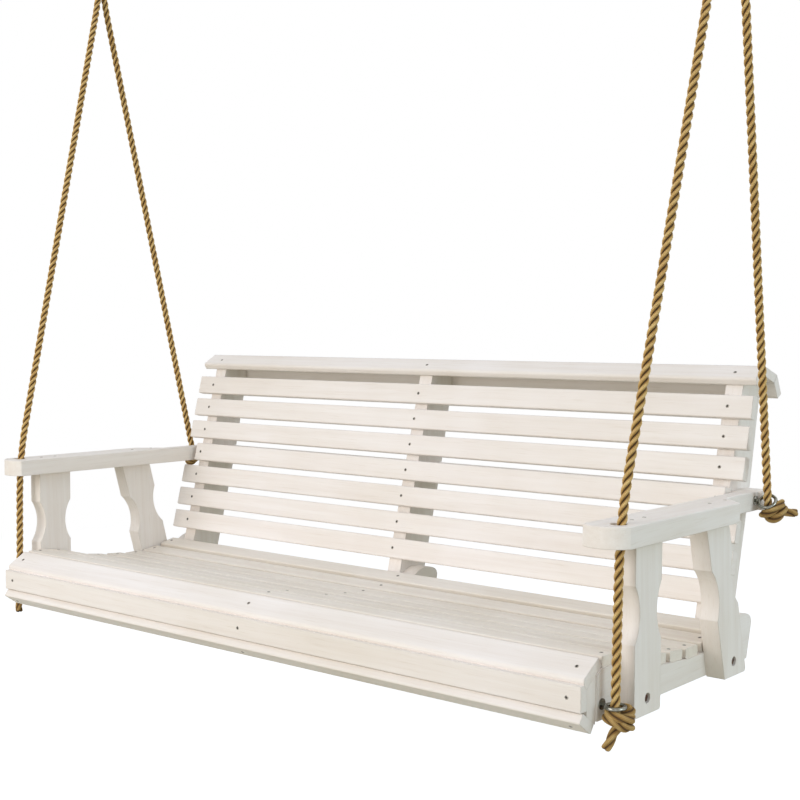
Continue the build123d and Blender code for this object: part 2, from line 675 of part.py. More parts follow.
with BuildPart() as seizing:
    with BuildSketch(plan(THIMBLE_HEIGHT - SEIZING_DROP - SEIZING_HEIGHT / 2)):
        with Locations(Location((HOOK_OUT, HOOK_BACK, 0), (0, 0, 90))):
            SlotCenterToCenter(2 * ROPE_R, 2 * (ROPE_R + CLEAR + SEIZING_WALL))
            SlotCenterToCenter(2 * ROPE_R, 2 * (ROPE_R + CLEAR), mode=Mode.SUBTRACT)
    extrude(amount=SEIZING_HEIGHT)
finish_pair(seizing, "rope_seizing")

# ---------------------------------------------------------------- ceiling hooks and plates
hook_plane = Plane(origin=(HOOK_OUT, 0, 0), x_dir=(1, 0, 0), z_dir=(0, -1, 0))
HOOK_ROUTE = [
    ((0, -PLATE[2]), 0),
    ((0, HINGE_Z + HOOK_NECK[0]), HOOK_NECK_BEND),
    ((HOOK_HALF, HINGE_Z + HOOK_NECK[1]), HOOK_NECK_BEND),
    ((HOOK_HALF, HINGE_Z), HOOK_BEND),
    ((-HOOK_HALF, HINGE_Z), HOOK_BEND),
    ((-HOOK_HALF, HINGE_Z + HOOK_LIP[0]), HOOK_LIP_BEND),
    ((-HOOK_HALF - HOOK_LIP_OUT, HINGE_Z + HOOK_LIP[1]), 0),
]
with BuildPart() as hook:
    with BuildLine(hook_plane) as hook_line:
        FilletPolyline(
            *[point for point, radius in HOOK_ROUTE],
            radius=[radius for point, radius in HOOK_ROUTE[1:-1]],
        )
    with BuildSketch(Plane(origin=hook_line.line @ 0, z_dir=hook_line.line % 0)):
        Circle(HOOK_R)
    sweep(path=hook_line.line)
    with BuildSketch(Plane.XY.offset(-PLATE[2])):
        with Locations((HOOK_OUT, 0)):
            Circle(HOOK_FLANGE_R)
    extrude(amount=-HOOK_R, taper=HOOK_FLANGE_TAPER)
finish_pair(hook, "ceiling_hook")

with BuildPart() as plate:
    with BuildSketch(Plane.XY.offset(-PLATE[2])):
        with Locations((HOOK_OUT, 0)):
            RectangleRounded(PLATE[0], PLATE[1], PLATE_CORNER)
        with Locations((HOOK_OUT, PLATE_HOLES / 2), (HOOK_OUT, -PLATE_HOLES / 2)):
            Circle(PLATE_HOLE_R, mode=Mode.SUBTRACT)
    extrude(amount=PLATE[2])
finish_pair(plate, "ceiling_plate")
print(f"hinge height {HINGE_Z:.2f}")
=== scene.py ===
# %% [markdown]
# # Porch swing seat
# A white slatted bench hangs from two ceiling hooks on two laid ropes. The imported CAD model is the
# fixed frame of this scene: its boards, rings, hooks and bolts stay as they are and get procedural
# materials here. The ropes, their stopper knots and the twine seizings are rebuilt strand by strand,
# two end blocks are drawn out flush with the boards, and the screws that hold the boards are added.
#
# ## Load the frame
# Every length is in metres, in the model's own frame: X runs along the bench, Y from front to back
# and Z up, with the origin on the ceiling.

import json
import math

import bmesh
import bpy
import numpy as np
from mathutils import Matrix, Vector


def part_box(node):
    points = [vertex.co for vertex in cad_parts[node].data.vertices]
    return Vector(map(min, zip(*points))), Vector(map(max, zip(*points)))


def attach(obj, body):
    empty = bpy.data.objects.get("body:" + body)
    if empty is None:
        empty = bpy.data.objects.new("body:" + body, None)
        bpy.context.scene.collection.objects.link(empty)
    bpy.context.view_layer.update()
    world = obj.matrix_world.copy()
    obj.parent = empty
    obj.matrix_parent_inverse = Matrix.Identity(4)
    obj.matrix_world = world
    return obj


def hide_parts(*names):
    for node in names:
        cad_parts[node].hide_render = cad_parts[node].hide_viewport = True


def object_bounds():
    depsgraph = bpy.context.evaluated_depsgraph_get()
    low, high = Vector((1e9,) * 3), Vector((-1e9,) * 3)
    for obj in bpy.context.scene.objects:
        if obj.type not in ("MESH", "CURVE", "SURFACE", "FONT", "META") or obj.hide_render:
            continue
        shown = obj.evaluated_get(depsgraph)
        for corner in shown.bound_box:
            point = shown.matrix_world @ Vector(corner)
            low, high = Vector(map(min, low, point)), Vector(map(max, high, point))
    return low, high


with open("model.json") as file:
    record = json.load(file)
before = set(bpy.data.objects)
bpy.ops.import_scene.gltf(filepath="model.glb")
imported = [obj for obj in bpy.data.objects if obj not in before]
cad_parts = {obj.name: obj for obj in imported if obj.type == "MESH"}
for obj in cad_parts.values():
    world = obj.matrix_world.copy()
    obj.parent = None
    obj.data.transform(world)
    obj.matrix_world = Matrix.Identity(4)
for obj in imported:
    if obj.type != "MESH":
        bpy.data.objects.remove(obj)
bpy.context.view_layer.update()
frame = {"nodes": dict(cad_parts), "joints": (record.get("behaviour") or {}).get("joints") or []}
nodes = frame["nodes"]
hinge = frame["joints"][0]
print(len(nodes), "nodes, hinge at", hinge["pos_m"])

# %% [markdown]
# ## Bench coordinates
# A bench maker measures from the front board: so far back, so far up. The hanging bench leans back a
# little about the hinge line, so that its balance point hangs under the hooks. Points could be given
# in the leaning frame, but then every level board would have sloping numbers. So they are given
# square, in millimetres, and `place()` leans them back as the bench leans.

# %% Bench coordinates
HOOK_BACK = 336.0
CEILING = 1530.0
BENCH_TILT = math.radians(2.53)
HINGE_Z = hinge["pos_m"][2]


def place(points):
    """Points in bench millimetres, turned about the hinge line by the tilt, in metres.

    With back and up counted from the hinge line, the turned point is
    (x, back cos t + up sin t, up cos t - back sin t).
    """
    p = np.atleast_2d(np.asarray(points, dtype=float)) / 1000
    back = p[:, 1] - HOOK_BACK / 1000
    up = p[:, 2] - CEILING / 1000 - HINGE_Z
    cos_t, sin_t = math.cos(BENCH_TILT), math.sin(BENCH_TILT)
    return np.column_stack((p[:, 0], back * cos_t + up * sin_t, up * cos_t - back * sin_t + HINGE_Z))


bench_turn = Matrix.Rotation(-BENCH_TILT, 4, "X")
print("front board's top edge at", place((0, 0, 0)).round(4))

# %% [markdown]
# ## Camera
# The camera stands in front of the bench and out past its right end, a little higher than the cap,
# and looks slightly down. Three turns aim it: a yaw to the left, a small pitch down and a touch of
# roll. A tracking constraint could aim it too, but plain angles can be read and changed one at a
# time. Its place is given in bench millimetres, so it follows the model.

# %% Camera
CAMERA_PLACE = (1825.8, -1714.3, 542.9)
CAMERA_YAW, CAMERA_DOWN, CAMERA_ROLL = 39.755, 2.9725, 0.18
CAMERA_LENS = 59.47

camera_data = bpy.data.cameras.new("camera")
camera_data.lens = CAMERA_LENS
camera_data.sensor_width = 36.0
camera_data.clip_end = 60
camera = bpy.data.objects.new("camera", camera_data)
bpy.context.scene.collection.objects.link(camera)
bpy.context.scene.camera = camera
turn = bench_turn @ Matrix.Rotation(math.radians(CAMERA_YAW), 4, "Z")
turn = turn @ Matrix.Rotation(math.radians(90 - CAMERA_DOWN), 4, "X")
turn = turn @ Matrix.Rotation(math.radians(CAMERA_ROLL), 4, "Z")
camera.matrix_world = Matrix.Translation(place(CAMERA_PLACE)[0]) @ turn
print("camera at", [round(v, 3) for v in camera.matrix_world.translation])

# %% [markdown]
# ## The rope's line
# Each rope is one piece, pulled tight by the bench's weight: from the front ring up through the arm,
# through the seizing, round the thimble and down to the rear ring. Straight runs and arcs could be
# joined end to end, as in the CAD model, but a NURBS curve is pulled towards its points and stays
# smooth by itself. The curve is read once as a line of points, without thickness, and the strands
# follow it.

# %% The rope's line
SAME_POINT = 1e-7
ROPE_POINTS = [
    (789.7, 56, -42.2), (790.3, 57.4, 48), (791.7, 60.5, 247), (797.4, 96.4, 395), (830.4, 305, 1255),
    (834, 328, 1350), (834, 328, 1404), (834, 304, 1446), (834, 320, 1474), (834, 352, 1474),
    (834, 368, 1446), (834, 344, 1404), (834, 344, 1350), (830.7, 364.7, 1255), (798.1, 569.9, 315),
    (794.7, 591, 218.4),
]


def distances(line):
    """How far along the line each of its points is."""
    steps = np.linalg.norm(np.diff(line, axis=0), axis=1)
    return np.concatenate(([0], np.cumsum(steps)))


def nurbs_line(points):
    """Points along a smooth NURBS curve through the air, as Blender evaluates it."""
    curve = bpy.data.curves.new("line", "CURVE")
    curve.dimensions = "3D"
    spline = curve.splines.new("NURBS")
    spline.points.add(len(points) - 1)
    spline.points.foreach_set("co", np.column_stack((points, np.ones(len(points)))).ravel())
    spline.order_u = 3
    spline.use_endpoint_u = True
    spline.resolution_u = 40
    holder = bpy.data.objects.new("line", curve)
    bpy.context.scene.collection.objects.link(holder)
    mesh = bpy.data.meshes.new_from_object(holder)
    line = np.zeros(3 * len(mesh.vertices))
    mesh.vertices.foreach_get("co", line)
    bpy.data.objects.remove(holder)
    bpy.data.meshes.remove(mesh)
    return line.reshape(-1, 3)


def even(line, step):
    """The same line with its points an even distance apart.

    New points are set at equal distances along the line, each between the two old ones it lies
    between. Points that fall on the one before are left out first.
    """
    gaps = np.linalg.norm(np.diff(line, axis=0), axis=1)
    line = line[np.concatenate(([True], gaps > SAME_POINT))]
    along = distances(line)
    count = max(2, int(round(along[-1] / step)) + 1)
    at = np.linspace(0, along[-1], count)
    return np.column_stack([np.interp(at, along, line[:, k]) for k in range(3)])


rope_line = nurbs_line(place(ROPE_POINTS))

# %% [markdown]
# ## Side directions along a line
# Whatever is wound round a line needs two directions square to it at every point. They could be
# worked out afresh from the line's bend, but where it is straight or bends the other way they would
# flip. So they are carried along instead, from one point to the next, which doesn't twist them.

# %% Side directions along a line
ANY_WAY = (0.31, 0.87, 0.38)


def first_side(line):
    """A side direction at a line's start: the first step crossed with any other direction."""
    side = np.cross(line[1] - line[0], ANY_WAY)
    return side / np.linalg.norm(side)


def side_frames(line, side):
    """Side directions carried along a line: each is the last one, less its part along the tangent."""
    tangents = np.gradient(line, axis=0)
    tangents /= np.linalg.norm(tangents, axis=1)[:, None]
    sides = np.zeros_like(line)
    for index, tangent in enumerate(tangents):
        side = side - tangent * float(side @ tangent)
        side = side / math.sqrt(float(side @ side))
        sides[index] = side
    return sides, np.cross(tangents, sides)


rope_sides = side_frames(rope_line, first_side(rope_line))[0]
print("side direction at the rope's end", rope_sides[-1].round(3))

# %% [markdown]
# ## From arrays to meshes
# Every new surface here is a grid of points worked out with numpy. `make_mesh` copies the arrays into
# a Blender mesh in one go, which is far quicker than adding faces one by one, and lets the piece ride
# on the swing. A shape that is drawn in to a point has many vertices there. `close_poles` merges
# them, so that the skin is closed.

# %% From arrays to meshes
SWING = "swing"


def make_mesh(name, vertices, quads):
    """A smooth mesh object from an array of vertices and an array of quads, riding on the swing."""
    vertices = np.asarray(vertices, dtype=np.float32)
    quads = np.asarray(quads, dtype=np.int32)
    mesh = bpy.data.meshes.new(name)
    mesh.vertices.add(len(vertices))
    mesh.vertices.foreach_set("co", vertices.ravel())
    mesh.loops.add(quads.size)
    mesh.loops.foreach_set("vertex_index", quads.ravel())
    mesh.polygons.add(len(quads))
    mesh.polygons.foreach_set("loop_start", np.arange(0, quads.size, quads.shape[1], dtype=np.int32))
    mesh.polygons.foreach_set("use_smooth", np.full(len(quads), True))
    mesh.update(calc_edges=True)
    obj = bpy.data.objects.new(name, mesh)
    bpy.context.scene.collection.objects.link(obj)
    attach(obj, SWING)
    return obj


def point_values(obj, name, values):
    """Keep one number for each vertex of a mesh, for its material to read."""
    attribute = obj.data.attributes.new(name, "FLOAT", "POINT")
    attribute.data.foreach_set("value", np.asarray(values, dtype=np.float32).ravel())


def close_poles(obj):
    """Merge the vertices that fall on one point."""
    work = bmesh.new()
    work.from_mesh(obj.data)
    bmesh.ops.remove_doubles(work, verts=work.verts, dist=SAME_POINT)
    work.to_mesh(obj.data)
    work.free()


print("mesh helpers ready")

# %% [markdown]
# ## Laid strands
# A laid rope is three strands wound round each other like a right-handed screw. They could be three
# bevelled curves, but then the fibre would have nothing to follow. So each strand is a grid: one
# direction goes along it, the other round it. `laid()` winds the strands' centres in the line's side
# directions. The UV map keeps each point's place round and along its strand, and the value `rise`
# keeps how far it stands out from the rope's line. The fibre's yarns and the painted shade in its
# grooves are drawn from those.

# %% Laid strands
LAY_LENGTH = 0.050
STRAND_R = 0.0041
STRAND_OUT = 0.0040
STRAND_CORNERS = 12
END_ROUNDING = 0.6


def end_swell(along, length):
    """The square root of the distance to the nearer end over the length, and at most 1."""
    from_end = np.minimum(along, along[-1] - along)
    return np.sqrt(np.clip(from_end / length, 0, 1))


def grid_quads(rows, columns):
    """Quads of a grid whose last column meets the first: a point, the next in its row, and the two
    above them, going round."""
    index = np.arange(rows * columns).reshape(rows, columns)
    after = np.roll(index, -1, axis=1)
    return np.stack((index[:-1], after[:-1], after[1:], index[1:]), axis=-1).reshape(-1, 4)


def laid(name, line, side, phase, out, radius, lay):
    """Three strands laid along a line. Returns the object, and the last side direction and phase.

    Strand k is centred at out (cos a, sin a) in the side directions, with a = phase + 2 pi s / lay
    + 2 pi k / 3, and s the distance along the line. Its own section is a circle drawn square to the
    line, which shrinks to nothing at both ends.
    """
    sides, ups = side_frames(line, side)
    along = distances(line)
    count, ring = len(line), STRAND_CORNERS
    around = np.linspace(0, 2 * np.pi, ring, endpoint=False)
    thick = radius * end_swell(along, END_ROUNDING * radius)[:, None]
    columns = np.arange(ring)
    u = np.stack((columns, columns + 1, columns + 1, columns), axis=-1) / ring
    u = np.broadcast_to(u, (count - 1, ring, 4))
    v_from, v_to = along[:-1, None] / lay, along[1:, None] / lay
    v = np.broadcast_to(np.stack((v_from, v_from, v_to, v_to), axis=-1), (count - 1, ring, 4))
    vertices, quads, uvs, rise = [], [], [], []
    for strand in range(3):
        angle = phase + 2 * np.pi * along / lay + 2 * np.pi * strand / 3
        turned = angle[:, None] + around[None, :]
        x = out * np.cos(angle)[:, None] + thick * np.cos(turned)
        y = out * np.sin(angle)[:, None] + thick * np.sin(turned)
        shape = line[:, None, :] + x[..., None] * sides[:, None, :] + y[..., None] * ups[:, None, :]
        vertices.append(shape.reshape(-1, 3))
        quads.append(grid_quads(count, ring) + strand * count * ring)
        rise.append((np.hypot(x, y) / (out + radius)).ravel())
        uvs.append(np.stack((u, v + strand), axis=-1).reshape(-1, 2))
    obj = make_mesh(name, np.concatenate(vertices), np.concatenate(quads))
    layer = obj.data.uv_layers.new(name="strand")
    layer.data.foreach_set("uv", np.concatenate(uvs).astype(np.float32).ravel())
    point_values(obj, "rise", np.concatenate(rise))
    close_poles(obj)
    return obj, sides[-1], phase + 2 * np.pi * along[-1] / lay


print("strands of", round(STRAND_R * 2000, 1), "mm, laid in", round(LAY_LENGTH * 1000), "mm")

# %% [markdown]
# ## Shader nodes in few words
# A material is a small network of nodes. `Nodes` adds a node, fills its inputs with numbers or links,
# and hands back what it gives out, so that a finish reads from top to bottom like a recipe. It works
# for a world as well, whose network has the same form. `backdrop_rays` is 1 for the rays that should
# see the white backdrop, those of the camera, of shiny metal and of glass, and 0 for the rays that
# carry light between the surfaces.

# %% Shader nodes in few words


class Nodes:
    """Adds shader nodes to one material or world and links them."""

    def __init__(self, owner):
        owner.use_nodes = True
        self.owner = owner
        self.tree = owner.node_tree
        self.shader = self.tree.nodes.get("Principled BSDF") or self.tree.nodes["Background"]

    def add(self, kind, inputs=None, **settings):
        """One node, with its settings and its inputs."""
        node = self.tree.nodes.new(kind)
        for key, value in settings.items():
            setattr(node, key, value)
        for key, value in (inputs or {}).items():
            self.put(node, key, value)
        return node

    def put(self, node, key, value):
        """Fill one input: with a link if the value is another node's output, else as a number."""
        if isinstance(value, bpy.types.NodeSocket):
            self.tree.links.new(value, node.inputs[key])
        else:
            node.inputs[key].default_value = value

    def object_place(self):
        """Places in the object's own space, which stay on it when it moves."""
        return self.add("ShaderNodeTexCoord").outputs["Object"]

    def noise(self, at, scale, detail, **more):
        """A soft random pattern from 0 to 1."""
        inputs = {"Vector": at, "Scale": scale, "Detail": detail, **more}
        return self.add("ShaderNodeTexNoise", inputs).outputs["Fac"]

    def ramp(self, factor, stops):
        """A colour read from a row of stops, each a position and a colour."""
        node = self.add("ShaderNodeValToRGB", {"Fac": factor})
        elements = node.color_ramp.elements
        while len(elements) < len(stops):
            elements.new(0.5)
        for element, (position, colour) in zip(elements, stops):
            element.position = position
            element.color = colour
        return node.outputs["Color"]

    def mix(self, factor, first, second, blend="MIX"):
        """Two colours mixed by a factor."""
        inputs = {0: factor, 6: first, 7: second}
        return self.add("ShaderNodeMix", inputs, data_type="RGBA", blend_type=blend).outputs[2]

    def maths(self, operation, *values):
        """One operation on numbers or links."""
        return self.add("ShaderNodeMath", dict(enumerate(values)), operation=operation).outputs[0]

    def bump(self, height, strength, distance, **more):
        """Tilt the shader's normal as a fine relief of this height would."""
        inputs = {"Height": height, "Strength": strength, "Distance": distance, **more}
        self.put(self.shader, "Normal", self.add("ShaderNodeBump", inputs).outputs["Normal"])

    def backdrop_rays(self):
        """1 for rays from the camera, from shiny metal and through glass, and 0 for the others."""
        rays = self.add("ShaderNodeLightPath").outputs
        glints = self.maths("MAXIMUM", rays["Is Glossy Ray"], rays["Is Transmission Ray"])
        return self.maths("MAXIMUM", rays["Is Camera Ray"], glints)


def new_finish(name):
    """The nodes of a new material."""
    return Nodes(bpy.data.materials.new(name))


def linear(red, green, blue):
    """An sRGB colour given from 0 to 255, as linear values with alpha.

    With c = value / 255, the linear value is c / 12.92 up to 0.04045, and ((c + 0.055) / 1.055)
    to the power 2.4 above that.
    """
    c = np.array((red, green, blue)) / 255
    lin = np.where(c <= 0.04045, c / 12.92, ((c + 0.055) / 1.055) ** 2.4)
    return (*[float(v) for v in lin], 1.0)


print("shader helpers ready")

# %% [markdown]
# ## Rope fibre
# The rope is gold-brown. Its colour carries a painted shade, dark in the grooves where the strands
# meet and lighter on the crowns, and fine yarns run nearly straight along it, because each strand is
# twisted against the lay. A plain noise would swim through the rope, so the yarns are a sine of the
# strand's own UV places, made uneven by a noise. The knots are of the same fibre, a little darker:
# partly handling wear and partly painted shade.

# %% Rope fibre
WHITE = (1.0, 1.0, 1.0, 1.0)
YARNS = 11
YARN_WANDER = 3.0


def rope_fibre(name, wear_and_painted_light):
    """Twisted yarns in the strands' UV places, with painted shade in the grooves, times a knot tone.
    """
    fibre = new_finish(name)
    strand_uv = fibre.add("ShaderNodeUVMap", uv_map="strand").outputs["UV"]
    split = fibre.add("ShaderNodeSeparateXYZ", {"Vector": strand_uv}).outputs
    rise = fibre.add("ShaderNodeAttribute", attribute_name="rise", attribute_type="GEOMETRY")
    at = fibre.object_place()
    patches = fibre.noise(at, scale=55.0, detail=4.0)
    hairs = fibre.noise(at, scale=900.0, detail=3.0)
    across = fibre.maths("ADD", split["X"], split["Y"])
    yarn_angle = fibre.maths("MULTIPLY", across, 2 * math.pi * YARNS)
    wander = fibre.maths("MULTIPLY", patches, YARN_WANDER)
    yarn = fibre.maths("SINE", fibre.maths("ADD", yarn_angle, wander))
    yarn_light = fibre.maths("ADD", fibre.maths("MULTIPLY", yarn, 0.5), 0.5)
    # Painted shade: the colour runs from dark in the grooves, where `rise` is low, to light on the
    # crowns.
    colour = fibre.ramp(rise.outputs["Fac"], [
        (0.50, linear(26, 17, 5)), (0.66, linear(100, 74, 31)),
        (0.80, linear(194, 160, 92)), (1.0, linear(255, 232, 172)),
    ])
    tone = fibre.ramp(patches, [(0.3, linear(228, 208, 176)), (0.7, linear(255, 251, 242))])
    colour = fibre.mix(1.0, colour, tone, "MULTIPLY")
    tint = fibre.ramp(yarn_light, [
        (0.0, linear(188, 168, 138)), (0.55, linear(244, 238, 226)), (1.0, WHITE),
    ])
    colour = fibre.mix(0.75, colour, tint, "MULTIPLY")
    speck = fibre.ramp(hairs, [(0.35, linear(190, 170, 140)), (0.6, WHITE)])
    colour = fibre.mix(0.55, colour, speck, "MULTIPLY")
    # The knots' tone multiplies the whole: partly handling wear, partly painted shade. It is white on
    # the rope.
    fibre.put(fibre.shader, "Base Color", fibre.mix(1.0, colour, wear_and_painted_light, "MULTIPLY"))
    fibre.put(fibre.shader, "Roughness", 0.75)
    fibre.put(fibre.shader, "Sheen Weight", 0.25)
    fibre.put(fibre.shader, "Sheen Tint", linear(240, 210, 150))
    yarn_relief = fibre.maths("MULTIPLY", yarn_light, 0.7)
    hair_relief = fibre.maths("MULTIPLY", hairs, 0.5)
    fibre.bump(fibre.maths("ADD", yarn_relief, hair_relief), strength=0.6, distance=0.0006)
    return fibre.owner


clean_fibre = rope_fibre("rope_fibre", WHITE)
# The knots are darker: partly handling wear and partly painted shade.
knot_fibre = rope_fibre("knot_fibre", linear(214, 211, 202))
print("rope fibre and knot fibre have", len(clean_fibre.node_tree.nodes), "nodes each")

# %% [markdown]
# ## The two ropes
# The strands are laid along evenly spaced points read from the rope's NURBS curve, once on the right
# and once mirrored to the left. Both wind the same way round, as rope from one reel does, because
# only the line is mirrored and not the strands. The side directions and turns at the ends are kept,
# so that the knots' strands carry on from the rope's.

# %% The two ropes
ROPE_STEP = 0.004


def mirrored(points):
    """The same points on the other side of the bench: x becomes -x."""
    return np.asarray(points) * (-1, 1, 1)


SIDES = {"right": np.asarray, "left": mirrored}
rope_path = even(rope_line, ROPE_STEP)
ropes = {}
for word, turn_over in SIDES.items():
    path = turn_over(rope_path)
    first = first_side(path)
    name = f"laid_rope_{word}"
    rope, last, last_phase = laid(name, path, first, 0.0, STRAND_OUT, STRAND_R, LAY_LENGTH)
    rope.data.materials.append(clean_fibre)
    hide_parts(f"rope_{word}")
    starts = {"front": (first, 0.0), "rear": (last, last_phase)}
    ropes[word] = {"rope": rope, "path": path, "starts": starts, "knots": []}
print("ropes", len(rope.data.vertices), "vertices each")

# %% [markdown]
# ## Stopper knots
# Below each ring the rope is tied in a knot that can't slip through. A knot could be a plain lump, but
# its passes show from every side, so its line is drawn from point to point. A place in it is
# given in millimetres from the ring's middle: sideways along a level bearing that points away from
# the bench and back, across that towards the front, and up.

# %% Stopper knots
KNOT_BEARING = math.radians(40)
RINGS = {"front": (789.7, 56, -38), "rear": (794.7, 588, 231)}
KNOTS = {
    "front": [
        (0, 0, -4.2), (0, 0, -12), (8, 1, -16), (20, 1, -10), (27, -5, -5), (14, -13, -6),
        (-3, -13, -9), (-11, -4, -11), (-6, 9, -12), (6, 15, -14), (19, 11, -17), (27, 1, -18),
        (17, -10, -19), (0, -12, -18), (-13, -5, -16), (-13, 6, -16), (-1, 14, -22), (12, 14, -29),
        (25, 5, -30), (20, -5, -29), (7, -3, -30), (0, 0, -38), (-7, 2, -51), (-15, 1, -68),
    ],
    "rear": [
        (2, 2, -12.6), (2, 0, -20), (-3, -8, -24), (-9, 0, -24), (0, 11, -20), (13, 14, -10),
        (25, 7, -2), (26, -5, -4), (15, -12, -14), (4, -8, -26), (3, 3, -32), (12, 12, -31),
        (23, 11, -21), (31, 3, -11), (25, -8, -11), (22, -6, -21), (34, -2, -20), (45, -2, -20),
        (57, -4, -23),
    ],
}


def knot_places(where):
    """A knot's places, turned from its own directions into bench millimetres.

    With b the bearing, x = ring + side cos b + across sin b, y = ring + side sin b - across cos b,
    and z = ring + up.
    """
    ring_x, ring_y, ring_z = RINGS[where]
    side, across, up = np.asarray(KNOTS[where], dtype=float).T
    cos_b, sin_b = math.cos(KNOT_BEARING), math.sin(KNOT_BEARING)
    x = ring_x + side * cos_b + across * sin_b
    y = ring_y + side * sin_b - across * cos_b
    return place(np.column_stack((x, y, ring_z + up)))


knot_lines = {where: nurbs_line(knot_places(where)) for where in KNOTS}
for where, line in knot_lines.items():
    print(where, "knot takes", round(float(distances(line)[-1]), 3), "m of rope")

# %% [markdown]
# ## Strands in the knots
# A tight bend squeezes a rope's strands together and opens their turns. The knots could take the
# rope's own strands, but then they would look stiff. So theirs are a little thicker, nearer to the
# line, and laid longer. Each knot starts with the side direction and the turn that the rope has at
# that end, so the strands run on from one into the other.

# %% Strands in the knots
KNOT_STEP = 0.0015
KNOT_LAY = 0.085
KNOT_STRAND_R = 0.0045
KNOT_STRAND_OUT = 0.0037

for word, rope in ropes.items():
    for where, (side, phase) in rope["starts"].items():
        line = SIDES[word](even(knot_lines[where], KNOT_STEP))
        name = f"laid_knot_{where}_{word}"
        knot = laid(name, line, side, phase, KNOT_STRAND_OUT, KNOT_STRAND_R, KNOT_LAY)[0]
        knot.data.materials.append(knot_fibre)
        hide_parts(f"rope_knot_{where}_{word}")
        rope["knots"].append(knot)
print("knots", [knot.name for rope in ropes.values() for knot in rope["knots"]])

# %% [markdown]

# %% [markdown]
# ## Twine seizings
# Where the two legs of a rope come together under the thimble, tarred twine is wound round both and
# holds them shut. A ribbed sleeve would look much the same from far away, but real turns catch the
# light one by one. `wound()` follows the outline of the two legs, round and round, while it climbs.
# The twine itself is thin enough for a plain noise, in its tone and its relief.

# %% Twine seizings
TWINE_R = 0.0015
TWINE_CORNERS = 10
TWINE_RISE = 2.04 * TWINE_R
SEIZING_TURNS = 9
STEPS_PER_TURN = 48
LEG_OFFSET = 0.008
LEG_REACH = 0.0097
STEEPNESS = 2.2


def wound(name, middle):
    """Twine wound round two round legs that stand apart along Y.

    At angle a of its turn the twine is at x = reach cos a and y = reach sin a + offset h, where h is
    the steepness times sin a, held between -1 and 1. Its height grows evenly with the turns. Its
    own section is a circle square to its line, which shrinks to nothing at both ends.
    """
    share = np.linspace(0, SEIZING_TURNS, STEPS_PER_TURN * SEIZING_TURNS + 1)
    angle = 2 * np.pi * (share % 1.0)
    x = LEG_REACH * np.cos(angle)
    y = LEG_REACH * np.sin(angle) + LEG_OFFSET * np.clip(STEEPNESS * np.sin(angle), -1, 1)
    z = (share - SEIZING_TURNS / 2) * TWINE_RISE
    line = np.column_stack((x, y, z)) @ np.array(bench_turn.to_3x3()).T + middle
    sides, ups = side_frames(line, first_side(line))
    around = np.linspace(0, 2 * np.pi, TWINE_CORNERS, endpoint=False)[None, :, None]
    thick = TWINE_R * end_swell(distances(line), TWINE_R)[:, None, None]
    shape = (line[:, None, :] + thick * np.cos(around) * sides[:, None, :]
             + thick * np.sin(around) * ups[:, None, :])
    coil = make_mesh(name, shape.reshape(-1, 3), grid_quads(len(line), TWINE_CORNERS))
    close_poles(coil)
    return coil


twine = new_finish("tarred_twine")
twine_noise = twine.noise(twine.object_place(), scale=700.0, detail=4.0)
twine_colour = twine.ramp(twine_noise, [(0.3, linear(92, 66, 36)), (0.7, linear(150, 118, 72))])
twine.put(twine.shader, "Base Color", twine_colour)
twine.put(twine.shader, "Roughness", 0.7)
twine.bump(twine_noise, strength=0.5, distance=0.0004)
for word in ("left", "right"):
    low, high = (np.array(v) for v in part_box(f"rope_seizing_{word}"))
    seizing = wound(f"wound_seizing_{word}", (low + high) / 2)
    seizing.data.materials.append(twine.owner)
    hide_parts(f"rope_seizing_{word}")
print("seizings of", SEIZING_TURNS, "turns")

# %% [markdown]
# ## White painted wood
# The boards are brushed with white paint that lets a little grain through. Grain runs along a board,
# so a noise is stretched in that direction, and the paint is made once for the pieces that run along
# X, once for those along Y and once for the upright ones. Edges wear first. They are found where a
# rounded normal differs from the surface's own, and get a warmer tone there. The seat slats have a
# paint of their own: their faces are a little darker, a painted shade, and the same edge mask makes
# their edges lighter, a painted highlight where the rounded arrises catch the light.

# %% White painted wood
GRAIN = {"long": (2.2, 60.0, 60.0), "deep": (60.0, 2.2, 60.0), "tall": (60.0, 60.0, 2.2)}
EDGE_R = 0.0022
EDGE_GAIN = 2.2
RUBBED = linear(232, 221, 208)
# The seat's edge tone is a painted highlight, and its tint a painted shade on the slats' faces.
SEAT_EDGE_HIGHLIGHT = linear(255, 253, 247)
SEAT_FACE_SHADE = linear(252, 251, 246)


